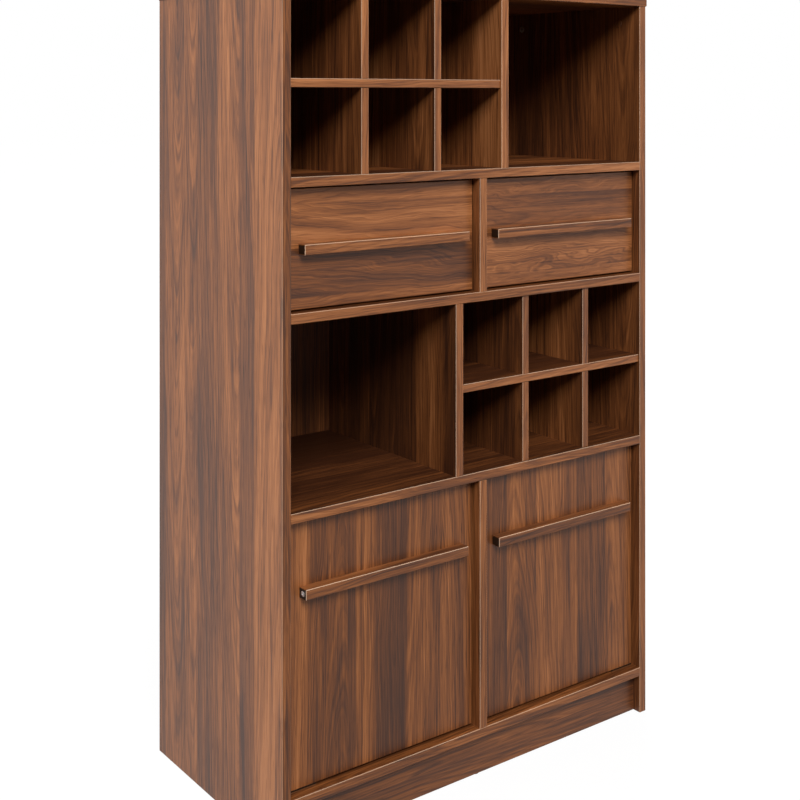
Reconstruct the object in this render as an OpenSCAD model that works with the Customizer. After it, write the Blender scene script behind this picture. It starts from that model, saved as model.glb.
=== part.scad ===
// Tall sideboard with two wine racks, two open bays, two inset drawers and two inset doors.
// The origin is on the floor under the middle of the overall box. The front faces -Y.
// Modules draw in cabinet coordinates: X from the left side panel's outer face,
// Y from the side panels' front edges towards the back, Z from the floor. home() moves them.

/* [Carcass] */
// Width over the two side panels
carcass_w = 900; // [820:5:1000]
// Depth of the side panels
carcass_d = 455; // [440:5:520]
// Thickness of carcass boards, doors and drawer fronts
board = 18; // [16:1:22]
// Height of the plinth under the bottom shelf
plinth_h = 76; // [60:1:110]
// Set-back of the plinth board from the front
plinth_recess = 18; // [10:1:30]
// Overhang of the top panel at the front and at each side
top_over = 1.5; // [0:0.5:5]
// Thickness of the back panel
back_t = 4; // [3:0.5:6]
// Strip of side panel left behind the back panel
back_inset = 29; // [15:1:35]
// Depth of the grooves that hold the back panel
groove_d = 6; // [4:0.5:8]
// Easing of the boards' front edges
ease = 1; // [0.5:0.1:2]
// Thickness of the floor glides
glide_h = 2; // [1:0.5:5]

/* [Rows] */
// Clear height of the door row
door_row_h = 469; // [420:1:520]
// Clear height of the lower open row
lower_row_h = 322; // [300:1:360]
// Clear height of the drawer row
drawer_row_h = 215; // [190:1:240]
// Clear height of the upper open row
upper_row_h = 326; // [305:1:360]

/* [Wine racks] */
// Thickness of the rack shelves and dividers
rack_t = 16; // [12:1:18]
// Set-back of the racks from the front
rack_recess = 4; // [0:1:10]
// Height of the lower bottle cells in both racks
cell_h = 153; // [130:1:160]
// Clear width of the upper rack
upper_rack_w = 478; // [440:1:500]
// Width of the two upper cells nearest the left side panel
upper_cell_w = 150; // [130:1:155]
// Clear width of the lower rack
lower_rack_w = 482; // [450:1:500]
// Width of the two lower cells nearest the right side panel
lower_cell_w = 148; // [130:1:155]

/* [Drawers] */
// Gap round the drawer fronts
drawer_gap = 3; // [2:0.5:5]
// Set-back of the drawer fronts from the carcass front
drawer_recess = 19; // [10:0.5:25]
// Thickness of the drawer sides and backs
box_t = 12; // [10:1:15]
// Height of the drawer sides
box_h = 150; // [110:5:160]
// Height of the drawer sides above the shelf
box_lift = 20; // [12:1:24]
// Thickness of the drawer bottoms
box_bottom_t = 4; // [3:0.5:6]
// Height of the drawer bottom above the lower edges of the sides
bottom_lift = 12; // [8:1:20]

/* [Slides] */
// Least room left behind the drawers
rear_room = 20; // [10:1:30]
// Height of the slides
slide_h = 35; // [30:1:45]
// Thickness of a slide, carcass to drawer side
slide_t = 12.7; // [12:0.1:13]
// Sheet thickness of the slide members
slide_wall = 1.2; // [1:0.1:1.5]

/* [Doors] */
// Gap round the doors
door_gap = 4; // [4:0.5:5]
// Set-back of the doors from the carcass front
door_recess = 19.5; // [15:0.5:19.5]
// Distance of the pivot from the door's front face and hinge edge
pivot_inset = 2.5; // [2.5:0.1:3]
// Diameter of the pivot pins
pin_d = 3; // [2.5:0.1:3.2]
// Length of the pivot leaves
leaf_l = 60; // [50:1:80]
// Width of the pivot leaves
leaf_w = 14; // [12:0.5:15]

/* [Handles] */
// Height of the handle strips
handle_h = 18; // [14:1:24]
// How far the handle strips stand out from the fronts
handle_d = 21; // [16:1:21]
// Distance of a drawer handle's ends from the drawer front's edges
drawer_handle_inset = 24; // [10:1:60]
// Distance of a door handle's ends from the door's edges
door_handle_inset = 25.5; // [25.5:0.5:60]
// Depth of a door handle's middle line below the door's top edge
door_handle_drop = 122; // [60:1:200]

/* [Hidden] */
$fn = 32;
eps = 0.01;

// Clearances
wood_fit = 0.1;
bolt_fit = 0.2;
pin_fit = 0.05;
rack_fit = 0.15;
slide_fit = 0.3;
catch_fit = 0.2;

// Connecting hardware
dowel_d = 8;
dowel_l = 30;
dowel_web = 1;
dowel_in_face = (board - dowel_web) / 2;
dowel_chamfer = 1;
cam_d = 15;
cam_depth = 12.5;
cam_back = 34;
cam_slot_w = 1.6;
cam_slot_l = 7;
cam_slot_d = 2;
bolt_d = 7;
bolt_thread_d = 5;
bolt_in_face = 11;
bolt_past = 3;
cam_bore_l = 19;
cam_edge = 60;
dowel_edge = 110;
foot_dowel_edge = 18;

// Screws: shank, countersunk head and pan head
screw_d = 3.5;
csk_d = 6.4;
csk_h = 1.4;
pan_d = 8;
pan_h = 2.4;
bolt_m = 4;
handle_bite = 10;
handle_screw_inset = 60;
wood_screw_l = 12;
box_screw_l = 40;
box_screw_d = 5;
box_screw_head = 8;
box_screw_edge = 25;
box_dowel_edge = 37;

// Glides and back panel nails
glide_margin = 1.5;
glide_d = board - 2 * glide_margin;
glide_nail_d = 2.5;
glide_nail_l = 14;
glide_edge = 45;
nail_d = 1.8;
nail_l = 20;
nail_head_d = 4;
nail_head_h = 0.8;
nail_edge = 60;
nail_count = 7;

// Levels
z_bottom_shelf = glide_h + plinth_h;
z_doors = z_bottom_shelf + board;
z_lower_shelf = z_doors + door_row_h;
z_lower = z_lower_shelf + board;
z_middle_shelf = z_lower + lower_row_h;
z_drawers = z_middle_shelf + board;
z_upper_shelf = z_drawers + drawer_row_h;
z_upper = z_upper_shelf + board;
z_top = z_upper + upper_row_h;
shelf_levels = [z_bottom_shelf, z_lower_shelf, z_middle_shelf, z_upper_shelf];

// Plan
inner_w = carcass_w - 2 * board;
right_x = carcass_w - board;
shelf_d = carcass_d - back_inset - back_t;
middle_x = (carcass_w - board) / 2;
bay_w = middle_x - board;
upper_partition_x = board + upper_rack_w;
lower_partition_x = right_x - lower_rack_w - board;
rack_d = shelf_d - rack_recess;
cam_ys = [cam_edge, shelf_d - cam_edge];
dowel_ys = [dowel_edge, shelf_d - dowel_edge];
nail_xs = [for (i = [0 : nail_count - 1]) board + nail_edge
    + i * (inner_w - 2 * nail_edge) / (nail_count - 1)];

// The deepest piece in front of the carcass sets where the overall box is centred
front_reach = max(top_over, handle_d - drawer_recess, handle_d - door_recess, 0);
front_y = (front_reach - carcass_d) / 2;

// Drawers
front_w = bay_w - 2 * drawer_gap;
front_h = drawer_row_h - 2 * drawer_gap;
front_z = z_drawers + drawer_gap;
box_w = bay_w - 2 * slide_t;
box_y = drawer_recess + board;
slide_setback = 2;
slide_y = box_y + slide_setback;

// Slides are sold in steps of length, and the longest that fits is used
slide_step = 50;
slide_len = slide_step * floor((shelf_d - slide_y - rear_room) / slide_step);
box_d = slide_len + slide_setback;
box_z = z_drawers + box_lift;
bottom_groove = 5;
slide_z = box_z + box_h / 2;
slide_screw_edge = 35;
slide_screw_ys = [slide_y + slide_screw_edge, slide_y + slide_len - slide_screw_edge];
screw_web = 2;
slide_screw_l = (board - screw_web) / 2;
inner_screw_l = box_t - screw_web;

// Doors
door_w = bay_w - 2 * door_gap;
door_h = door_row_h - 2 * door_gap;
door_z = z_doors + door_gap;
door_leaf_t = 2;
frame_leaf_t = 1.6;
leaf_screw_first = 20;
leaf_screw_edge = 15;
leaf_screws = [leaf_screw_first, leaf_l - leaf_screw_edge];
leaf_screw_y = leaf_w - csk_d;
leaf_bite = 16;
frame_bite = 12;
strike_l = 38;
strike_w = 11;
strike_t = 1;
strike_edge = 2;
strike_screw_edge = 9;
catch_l = 46;
catch_d = 14;
catch_h = 14;
pole_l = 16;
pole_d = 5;
pole_t = 1.5;
pole_h = 8;
pole_proud = 0.6;
catch_edge = 4;
catch_screw_y = 8;
catch_screw_edge = 7.5;

// The left door's handle has an open end with a plug and a screw in it
end_wall = 1.6;
end_pocket = 9;
plug_depth = 6.5;
end_screw_d = 12;
end_screw_h = 2.2;
end_screw_shank = 4;
end_screw_socket = 3.6;
end_socket_d = 1.1;
end_screw_bite = 12;

WALNUT = [0.42, 0.26, 0.18];
DARK_WALNUT = [0.36, 0.22, 0.15];
LINING = [0.62, 0.50, 0.40];
STEEL = [0.72, 0.73, 0.75];
BEECH = [0.82, 0.66, 0.46];
PLASTIC = [0.08, 0.08, 0.08];

// Placing

module home() {
    translate([-carcass_w / 2, front_y, 0]) children();
}

// The children at the left, and mirrored at the right
module both_sides() {
    children();
    translate([carcass_w, 0, 0]) mirror([1, 0, 0]) children();
}

module at_right(right) {
    if (right) translate([carcass_w, 0, 0]) mirror([1, 0, 0]) children();
    else children();
}

module bar_x(d, l) {
    rotate([0, 90, 0]) cylinder(d = d, h = l);
}

// Boards with eased front edges, each from its lower front left corner

// Section of a board d deep and t thick, its front at X = 0
module eased_section(d, t) {
    polygon([[ease, 0], [d, 0], [d, t], [ease, t], [0, t - ease], [0, ease]]);
}

// Eased along its top and bottom front edges
module flat_board(w, d, t) {
    rotate([90, 0, 90]) linear_extrude(w) eased_section(d, t);
}

// Eased along its left and right front edges
module upright_board(t, d, h) {
    linear_extrude(h) translate([t, 0]) rotate(90) eased_section(d, t);
}

// Eased all round its front face
module front_board(w, t, h) {
    intersection() {
        flat_board(w, t, h);
        upright_board(w, t, h);
    }
}

// Eased along its ends as well
module top_slab(w, d, t) {
    intersection() {
        flat_board(w, d, t);
        translate([0, d, 0]) rotate([90, 0, 0]) linear_extrude(d)
            polygon([[ease, 0], [w - ease, 0], [w, ease], [w, t - ease],
                [w - ease, t], [ease, t], [0, t - ease], [0, ease]]);
    }
}

// Connecting hardware, drawn with the meeting face at X = 0 and the edge-bored board at +X

module dowel() {
    straight = dowel_l - 2 * dowel_chamfer;
    tip_d = dowel_d - 2 * dowel_chamfer;
    translate([-dowel_in_face, 0, 0]) rotate([0, 90, 0]) {
        cylinder(d1 = tip_d, d2 = dowel_d, h = dowel_chamfer);
        translate([0, 0, dowel_chamfer]) cylinder(d = dowel_d, h = straight);
        translate([0, 0, dowel_chamfer + straight])
            cylinder(d1 = dowel_d, d2 = tip_d, h = dowel_chamfer);
    }
}

module dowel_hole() {
    translate([-dowel_in_face - wood_fit, 0, 0])
        bar_x(dowel_d + 2 * wood_fit, dowel_l + 2 * wood_fit);
}

module cam_lock() {
    translate([cam_back, 0, -board / 2]) difference() {
        cylinder(d = cam_d, h = cam_depth);
        translate([-cam_d, 0, board / 2]) bar_x(bolt_d + 2 * bolt_fit, cam_bore_l);
        for (a = [0, 90]) rotate([0, 0, a])
            translate([-cam_slot_l / 2, -cam_slot_w / 2, -eps])
                cube([cam_slot_l, cam_slot_w, cam_slot_d]);
    }
}

module cam_bolt() {
    translate([-bolt_in_face, 0, 0]) bar_x(bolt_thread_d, bolt_in_face);
    bar_x(bolt_d, cam_back + bolt_past);
}

module cam_hole() {
    translate([cam_back, 0, -board / 2 - eps])
        cylinder(d = cam_d + 2 * wood_fit, h = cam_depth + wood_fit + eps);
    bar_x(bolt_d + 2 * bolt_fit, cam_back);
    translate([-bolt_in_face - wood_fit, 0, 0])
        bar_x(bolt_thread_d + 2 * wood_fit, bolt_in_face + 2 * wood_fit);
}

// Where the hardware goes

module at_shelf_ends(z, ys) {
    both_sides() for (y = ys) translate([board, y, z + board / 2]) children();
}

module at_top_corners(ys) {
    both_sides() for (y = ys)
        translate([board / 2, y, z_top]) rotate([0, 90, 0]) rotate([180, 0, 0]) children();
}

module at_upright_foot(x, z) {
    for (y = dowel_ys) translate([x + board / 2, y, z]) rotate([0, -90, 0]) children();
}

module at_upright_head(x, z) {
    for (y = dowel_ys) translate([x + board / 2, y, z]) rotate([0, 90, 0]) children();
}

module at_foot_boards() {
    both_sides() for (y = [plinth_recess + board / 2, shelf_d - board / 2])
        for (z = [glide_h + foot_dowel_edge, z_bottom_shelf - foot_dowel_edge])
            translate([board, y, z]) children();
}

module at_glides() {
    both_sides() for (y = [glide_edge, carcass_d - glide_edge])
        translate([board / 2, y, glide_h]) children();
    for (y = [plinth_recess + board / 2, shelf_d - board / 2])
        translate([carcass_w / 2, y, glide_h]) children();
}

module glide_holes() {
    at_glides() cylinder(d = glide_nail_d + 2 * wood_fit, h = glide_nail_l + wood_fit);
}

// A countersunk screw along +Z, its head's face at Z = 0
module flat_screw(l) {
    cylinder(d1 = csk_d, d2 = screw_d, h = csk_h);
    translate([0, 0, csk_h]) cylinder(d = screw_d, h = l - csk_h);
}

module flat_screw_hole(l) {
    translate([0, 0, -eps])
        cylinder(d1 = csk_d + 2 * wood_fit, d2 = screw_d + 2 * wood_fit, h = csk_h + eps);
    cylinder(d = screw_d + 2 * wood_fit, h = l + wood_fit);
}

// Slide screws into the carcass, at one drawer bay
module at_outer_slide_screws(right) {
    at_right(right) for (y = slide_screw_ys) {
        translate([board + slide_wall, y, slide_z]) rotate([0, -90, 0]) children();
        translate([middle_x - slide_wall, y, slide_z]) rotate([0, 90, 0]) children();
    }
}

// Slide screws into the drawer sides
module at_inner_slide_screws(right) {
    x0 = board + slide_t;
    at_right(right) for (y = slide_screw_ys) {
        translate([x0 - slide_wall, y, slide_z]) rotate([0, 90, 0]) children();
        translate([x0 + box_w + slide_wall, y, slide_z]) rotate([0, -90, 0]) children();
    }
}

// The middle divider takes the screws of both bays, from both faces
module outer_slide_screw_holes() {
    for (right = [false, true])
        at_outer_slide_screws(right) flat_screw_hole(slide_wall + slide_screw_l);
}

// Carcass boards

module side_panel() {
    difference() {
        translate([0, 0, glide_h]) upright_board(board, carcass_d, z_top - glide_h);
        translate([board - groove_d, shelf_d, z_bottom_shelf - wood_fit])
            cube([groove_d + eps, back_t + 2 * wood_fit, z_top]);
        for (z = shelf_levels) {
            at_shelf_ends(z, cam_ys) cam_hole();
            at_shelf_ends(z, dowel_ys) dowel_hole();
        }
        at_top_corners(cam_ys) cam_hole();
        at_top_corners(dowel_ys) dowel_hole();
        at_foot_boards() dowel_hole();
        outer_slide_screw_holes();
        glide_holes();
    }
}

module left_side_panel() {
    color(WALNUT) home() side_panel();
}

module right_side_panel() {
    color(WALNUT) home() at_right(true) side_panel();
}

module top_panel() {
    color(WALNUT) home() difference() {
        translate([-top_over, -top_over, z_top])
            top_slab(carcass_w + 2 * top_over, carcass_d + top_over, board);
        translate([board - groove_d, shelf_d, z_top - eps])
            cube([inner_w + 2 * groove_d, back_t + 2 * wood_fit, groove_d + eps]);
        at_top_corners(cam_ys) cam_hole();
        at_top_corners(dowel_ys) dowel_hole();
        at_upright_head(upper_partition_x, z_top) dowel_hole();
    }
}

// A full-width shelf with its end bores and the nail holes in its rear edge
module shelf(z) {
    difference() {
        translate([board, 0, z]) flat_board(inner_w, shelf_d, board);
        at_shelf_ends(z, cam_ys) cam_hole();
        at_shelf_ends(z, dowel_ys) dowel_hole();
        back_nail_holes(z);
        children();
    }
}

module upper_shelf() {
    color(WALNUT) home() shelf(z_upper_shelf) {
        at_upright_foot(upper_partition_x, z_upper) dowel_hole();
        at_upright_head(middle_x, z_upper_shelf) dowel_hole();
    }
}

module middle_shelf() {
    color(WALNUT) home() shelf(z_middle_shelf) {
        at_upright_foot(middle_x, z_drawers) dowel_hole();
        at_upright_head(lower_partition_x, z_middle_shelf) dowel_hole();
    }
}

module lower_shelf() {
    color(WALNUT) home() shelf(z_lower_shelf) {
        at_upright_foot(lower_partition_x, z_lower) dowel_hole();
        at_upright_head(middle_x, z_lower_shelf) dowel_hole();
        at_pivots_top() frame_leaf_screw_holes();
        at_catches() catch_screw_holes();
    }
}

module bottom_shelf() {
    color(WALNUT) home() shelf(z_bottom_shelf) {
        at_upright_foot(middle_x, z_doors) dowel_hole();
        at_pivots_bottom() frame_leaf_screw_holes();
    }
}

// A board on edge between the side panels, under the bottom shelf
module foot_board(y) {
    difference() {
        translate([board, y, glide_h]) cube([inner_w, board, plinth_h]);
        at_foot_boards() dowel_hole();
        glide_holes();
    }
}

module plinth_board() {
    color(DARK_WALNUT) home() foot_board(plinth_recess);
}

module rear_rail() {
    color(DARK_WALNUT) home() foot_board(shelf_d - board);
}

module back_panel() {
    color(LINING) home() difference() {
        translate([board - groove_d + wood_fit, shelf_d, z_bottom_shelf])
            cube([inner_w + 2 * (groove_d - wood_fit), back_t,
                z_top + groove_d - wood_fit - z_bottom_shelf]);
        for (z = shelf_levels) back_nail_holes(z);
    }
}

// A full-depth upright between two shelves, doweled at its foot and head
module upright(x, z0, z1) {
    difference() {
        translate([x, 0, z0]) upright_board(board, shelf_d, z1 - z0);
        at_upright_foot(x, z0) dowel_hole();
        at_upright_head(x, z1) dowel_hole();
        children();
    }
}

module upper_partition() {
    color(WALNUT) home() upright(upper_partition_x, z_upper, z_top);
}

module lower_partition() {
    color(WALNUT) home() upright(lower_partition_x, z_lower, z_middle_shelf);
}

module drawer_divider() {
    color(WALNUT) home() upright(middle_x, z_drawers, z_upper_shelf)
        outer_slide_screw_holes();
}

module door_divider() {
    color(WALNUT) home() upright(middle_x, z_doors, z_lower_shelf);
}

// Wine racks: one shelf and two dividers, halved into each other

upper_rack_xs = [for (i = [1, 2]) board + i * upper_cell_w + (i - 1) * rack_t];
lower_rack_xs = [for (i = [2, 1]) right_x - i * (lower_cell_w + rack_t)];

// The shelf is notched from the rear, so its front edge runs through
module rack_shelf(x, w, z, notches) {
    difference() {
        translate([x + rack_fit, rack_recess, z + cell_h])
            flat_board(w - 2 * rack_fit, rack_d, rack_t);
        for (n = notches)
            translate([n - rack_fit, rack_recess + rack_d / 2, z + cell_h - eps])
                cube([rack_t + 2 * rack_fit, rack_d, rack_t + 2 * eps]);
    }
}

// The dividers are notched from the front
module rack_divider(x, z, row_h) {
    difference() {
        translate([x, rack_recess, z]) upright_board(rack_t, rack_d, row_h - rack_fit);
        translate([x - eps, rack_recess - eps, z + cell_h - rack_fit])
            cube([rack_t + 2 * eps, rack_d / 2 + rack_fit, rack_t + 2 * rack_fit]);
    }
}

module upper_rack_shelf() {
    color(WALNUT) home() rack_shelf(board, upper_rack_w, z_upper, upper_rack_xs);
}

module upper_rack_divider_left() {
    color(WALNUT) home() rack_divider(upper_rack_xs[0], z_upper, upper_row_h);
}

module upper_rack_divider_right() {
    color(WALNUT) home() rack_divider(upper_rack_xs[1], z_upper, upper_row_h);
}

module lower_rack_shelf() {
    color(WALNUT) home()
        rack_shelf(right_x - lower_rack_w, lower_rack_w, z_lower, lower_rack_xs);
}

module lower_rack_divider_left() {
    color(WALNUT) home() rack_divider(lower_rack_xs[0], z_lower, lower_row_h);
}

module lower_rack_divider_right() {
    color(WALNUT) home() rack_divider(lower_rack_xs[1], z_lower, lower_row_h);
}

// Carcass hardware

module panel_dowels() {
    color(BEECH) home() {
        for (z = shelf_levels) at_shelf_ends(z, dowel_ys) dowel();
        at_top_corners(dowel_ys) dowel();
        at_foot_boards() dowel();
        at_upright_foot(upper_partition_x, z_upper) dowel();
        at_upright_head(upper_partition_x, z_top) dowel();
        at_upright_foot(middle_x, z_drawers) dowel();
        at_upright_head(middle_x, z_upper_shelf) dowel();
        at_upright_foot(lower_partition_x, z_lower) dowel();
        at_upright_head(lower_partition_x, z_middle_shelf) dowel();
        at_upright_foot(middle_x, z_doors) dowel();
        at_upright_head(middle_x, z_lower_shelf) dowel();
    }
}

module cam_locks() {
    color(STEEL) home() {
        for (z = shelf_levels) at_shelf_ends(z, cam_ys) cam_lock();
        at_top_corners(cam_ys) cam_lock();
    }
}

module cam_bolts() {
    color(STEEL) home() {
        for (z = shelf_levels) at_shelf_ends(z, cam_ys) cam_bolt();
        at_top_corners(cam_ys) cam_bolt();
    }
}

module at_back_nails(z) {
    for (x = nail_xs)
        translate([x, shelf_d + back_t, z + board / 2]) rotate([90, 0, 0]) children();
}

module back_nail_holes(z) {
    at_back_nails(z) cylinder(d = nail_d + 2 * pin_fit, h = nail_l + wood_fit);
}

module back_panel_nails() {
    color(STEEL) home() for (z = shelf_levels) at_back_nails(z) {
        cylinder(d = nail_d, h = nail_l);
        translate([0, 0, -nail_head_h]) cylinder(d = nail_head_d, h = nail_head_h);
    }
}

module floor_glides() {
    color(PLASTIC) home() at_glides() {
        cylinder(d = glide_nail_d, h = glide_nail_l);
        translate([0, 0, -glide_h]) cylinder(d = glide_d, h = glide_h);
    }
}

// Telescopic slides: nested channels drawn at the left drawer's left side,
// with X = 0 on the carcass and X = slide_t on the drawer side

slide_pitch = slide_wall + slide_fit;

// A channel along Y with its web from X = x0, open towards +X
module channel(x0, x1, h) {
    translate([x0, slide_y, slide_z - h / 2]) {
        cube([slide_wall, slide_len, h]);
        cube([x1 - x0, slide_len, slide_wall]);
        translate([0, 0, h - slide_wall]) cube([x1 - x0, slide_len, slide_wall]);
    }
}

module outer_member() {
    channel(0, slide_t - 2 * slide_pitch, slide_h);
}

module middle_member() {
    channel(slide_pitch, slide_t - slide_pitch, slide_h - 2 * slide_pitch);
}

// The drawer's member is open towards the carcass
module inner_member() {
    translate([slide_t, 0, 0]) mirror([1, 0, 0])
        channel(0, slide_t - 2 * slide_pitch, slide_h - 4 * slide_pitch);
}

// The children at both sides of one drawer bay
module bay_sides(right) {
    at_right(right) {
        translate([board, 0, 0]) children();
        translate([middle_x, 0, 0]) mirror([1, 0, 0]) children();
    }
}

module outer_slides(right) {
    color(STEEL) home() difference() {
        bay_sides(right) outer_member();
        at_outer_slide_screws(right) flat_screw_hole(slide_wall);
    }
}

module middle_slides(right) {
    color(STEEL) home() bay_sides(right) middle_member();
}

module inner_slides(right) {
    color(STEEL) home() difference() {
        bay_sides(right) inner_member();
        at_inner_slide_screws(right) flat_screw_hole(slide_wall);
    }
}

module left_outer_slides() {
    outer_slides(false);
}

module right_outer_slides() {
    outer_slides(true);
}

module left_middle_slides() {
    middle_slides(false);
}

module right_middle_slides() {
    middle_slides(true);
}

module left_inner_slides() {
    inner_slides(false);
}

module right_inner_slides() {
    inner_slides(true);
}

// Drawers, drawn at the left bay and mirrored for the right one

handle_front_l = front_w - 2 * drawer_handle_inset;
handle_front_x = board + drawer_gap + drawer_handle_inset;
handle_front_z = front_z + front_h / 2;
box_x = board + slide_t;
box_dowel_zs = [box_z + box_dowel_edge, box_z + box_h - box_dowel_edge];
box_screw_zs = [box_z + box_screw_edge, box_z + box_h - box_screw_edge];

// Screw places along a handle, drawn with +Z along the screw towards the front
module at_handle_screws(x, l, z, y) {
    for (sx = [x + handle_screw_inset, x + l - handle_screw_inset])
        translate([sx, y, z]) rotate([90, 0, 0]) children();
}

module handle_screw_hole() {
    cylinder(d = bolt_m + 2 * wood_fit, h = board + handle_bite + wood_fit);
}

module handle_screw() {
    cylinder(d = bolt_m, h = board + handle_bite);
    translate([0, 0, -pan_h]) cylinder(d = pan_d, h = pan_h);
}

// The handle strip in front of a front whose face is at Y = y
module handle_strip(x, l, z, y) {
    difference() {
        translate([x, y - handle_d, z - handle_h / 2]) front_board(l, handle_d, handle_h);
        at_handle_screws(x, l, z, y + board) handle_screw_hole();
    }
}

module at_box_dowels() {
    for (x = [box_x + box_t / 2, box_x + box_w - box_t / 2]) for (z = box_dowel_zs)
        translate([x, box_y, z]) rotate([0, 0, 90]) children();
}

module at_box_screws() {
    y = box_y + box_d - box_t / 2;
    for (z = box_screw_zs) {
        translate([box_x, y, z]) rotate([0, 90, 0]) children();
        translate([box_x + box_w, y, z]) rotate([0, -90, 0]) children();
    }
}

module box_screw() {
    taper = (box_screw_head - box_screw_d) / 2;
    cylinder(d1 = box_screw_head, d2 = box_screw_d, h = taper);
    translate([0, 0, taper]) cylinder(d = box_screw_d, h = box_screw_l - taper);
}

module box_screw_hole() {
    taper = (box_screw_head - box_screw_d) / 2;
    translate([0, 0, -eps])
        cylinder(d1 = box_screw_head + 2 * wood_fit, d2 = box_screw_d + 2 * wood_fit, h = taper + eps);
    cylinder(d = box_screw_d + 2 * wood_fit, h = box_screw_l + wood_fit);
}

module box_bottom(fit) {
    reach = bottom_groove - fit;
    translate([box_x + box_t - bottom_groove + fit, box_y - reach, box_z + bottom_lift - wood_fit + fit])
        cube([box_w - 2 * box_t + 2 * reach, box_d - box_t + 2 * reach,
            box_bottom_t + 2 * (wood_fit - fit)]);
}

module drawer_front(right) {
    color(WALNUT) home() at_right(right) difference() {
        translate([board + drawer_gap, drawer_recess, front_z])
            front_board(front_w, board, front_h);
        box_bottom(0);
        at_box_dowels() dowel_hole();
        at_handle_screws(handle_front_x, handle_front_l, handle_front_z, box_y)
            handle_screw_hole();
    }
}

module drawer_side(right, x) {
    color(LINING) home() at_right(right) difference() {
        translate([x, box_y, box_z]) cube([box_t, box_d, box_h]);
        box_bottom(0);
        at_box_dowels() dowel_hole();
        at_box_screws() box_screw_hole();
        at_inner_slide_screws(false) flat_screw_hole(slide_wall + inner_screw_l);
    }
}

module drawer_back(right) {
    color(LINING) home() at_right(right) difference() {
        translate([box_x + box_t, box_y + box_d - box_t, box_z])
            cube([box_w - 2 * box_t, box_t, box_h]);
        box_bottom(0);
        at_box_screws() box_screw_hole();
    }
}

module drawer_bottom(right) {
    color(LINING) home() at_right(right) box_bottom(wood_fit);
}

module drawer_handle(right) {
    color(DARK_WALNUT) home() at_right(right)
        handle_strip(handle_front_x, handle_front_l, handle_front_z, drawer_recess);
}

module drawer_fasteners(right) {
    color(STEEL) home() {
        at_right(right) {
            at_box_dowels() dowel();
            at_box_screws() box_screw();
            at_handle_screws(handle_front_x, handle_front_l, handle_front_z, box_y)
                handle_screw();
        }
        at_inner_slide_screws(right) flat_screw(slide_wall + inner_screw_l);
    }
}

module left_drawer_front() {
    drawer_front(false);
}

module left_drawer_left_side() {
    drawer_side(false, box_x);
}

module left_drawer_right_side() {
    drawer_side(false, box_x + box_w - box_t);
}

module left_drawer_back() {
    drawer_back(false);
}

module left_drawer_bottom() {
    drawer_bottom(false);
}

module left_drawer_handle() {
    drawer_handle(false);
}

module left_drawer_fasteners() {
    drawer_fasteners(false);
}

module right_drawer_front() {
    drawer_front(true);
}

module right_drawer_left_side() {
    drawer_side(true, box_x + box_w - box_t);
}

module right_drawer_right_side() {
    drawer_side(true, box_x);
}

module right_drawer_back() {
    drawer_back(true);
}

module right_drawer_bottom() {
    drawer_bottom(true);
}

module right_drawer_handle() {
    drawer_handle(true);
}

module right_drawer_fasteners() {
    drawer_fasteners(true);
}

// Doors, drawn at the left bay with the pivot at the left, and mirrored for the right one

door_x = board + door_gap;
door_back_y = door_recess + board;
door_handle_l = door_w - 2 * door_handle_inset;
door_handle_x = door_x + door_handle_inset;
door_handle_z = door_z + door_h - door_handle_drop;
strike_x = door_x + door_w - catch_edge - (catch_l + strike_l) / 2;
strike_z = door_z + door_h - strike_w - strike_edge;

// Leaf frames: X from the door's hinge edge, Y from its front face, Z away from the shelf
module at_pivots_bottom() {
    both_sides() translate([door_x, door_recess, z_doors]) children();
}

module at_pivots_top() {
    both_sides() translate([door_x, door_recess, z_lower_shelf]) mirror([0, 0, 1]) children();
}

// Leaf outline with its corner rounded about the pivot
module leaf_plate(t) {
    translate([pivot_inset, pivot_inset, 0]) cylinder(r = pivot_inset, h = t);
    translate([pivot_inset, 0, 0]) cube([leaf_l - pivot_inset, leaf_w, t]);
    translate([0, pivot_inset, 0]) cube([leaf_l, leaf_w - pivot_inset, t]);
}

// Screws of the leaf on the shelf, pointing into the shelf
module at_frame_leaf_screws() {
    for (x = leaf_screws)
        translate([x, leaf_screw_y, frame_leaf_t]) mirror([0, 0, 1]) children();
}

module frame_leaf_screw_holes() {
    at_frame_leaf_screws() flat_screw_hole(frame_bite);
}

// Screws of the leaf on the door, pointing into the door's edge
module at_door_leaf_screws() {
    for (x = leaf_screws)
        translate([x, leaf_screw_y, door_gap - door_leaf_t]) children();
}

// Leaf on the shelf with its boss and pin
module frame_leaf() {
    boss_h = door_gap - door_leaf_t - frame_leaf_t - wood_fit;
    difference() {
        leaf_plate(frame_leaf_t);
        frame_leaf_screw_holes();
    }
    translate([pivot_inset, pivot_inset, 0]) {
        cylinder(r = pivot_inset - wood_fit, h = frame_leaf_t + boss_h);
        cylinder(d = pin_d, h = door_gap - wood_fit);
    }
}

// Leaf on the door's edge, turning on the pin
module door_leaf() {
    difference() {
        translate([0, 0, door_gap - door_leaf_t]) leaf_plate(door_leaf_t);
        translate([pivot_inset, pivot_inset, 0])
            cylinder(d = pin_d + 2 * pin_fit, h = door_gap + eps);
        at_door_leaf_screws() flat_screw_hole(leaf_bite);
    }
}

module door_pivot_plates() {
    color(STEEL) home() {
        at_pivots_bottom() frame_leaf();
        at_pivots_top() frame_leaf();
    }
}

// One door's leaves, in the left bay
module at_door_ends() {
    translate([door_x, door_recess, z_doors]) children();
    translate([door_x, door_recess, z_lower_shelf]) mirror([0, 0, 1]) children();
}

module door_leaves(right) {
    color(STEEL) home() at_right(right) at_door_ends() door_leaf();
}

// The strike's two screws go into the back of the door
module at_strike_screws() {
    for (x = [strike_x + strike_screw_edge, strike_x + strike_l - strike_screw_edge])
        translate([x, door_back_y + strike_t, strike_z + strike_w / 2])
            rotate([90, 0, 0]) children();
}

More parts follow.
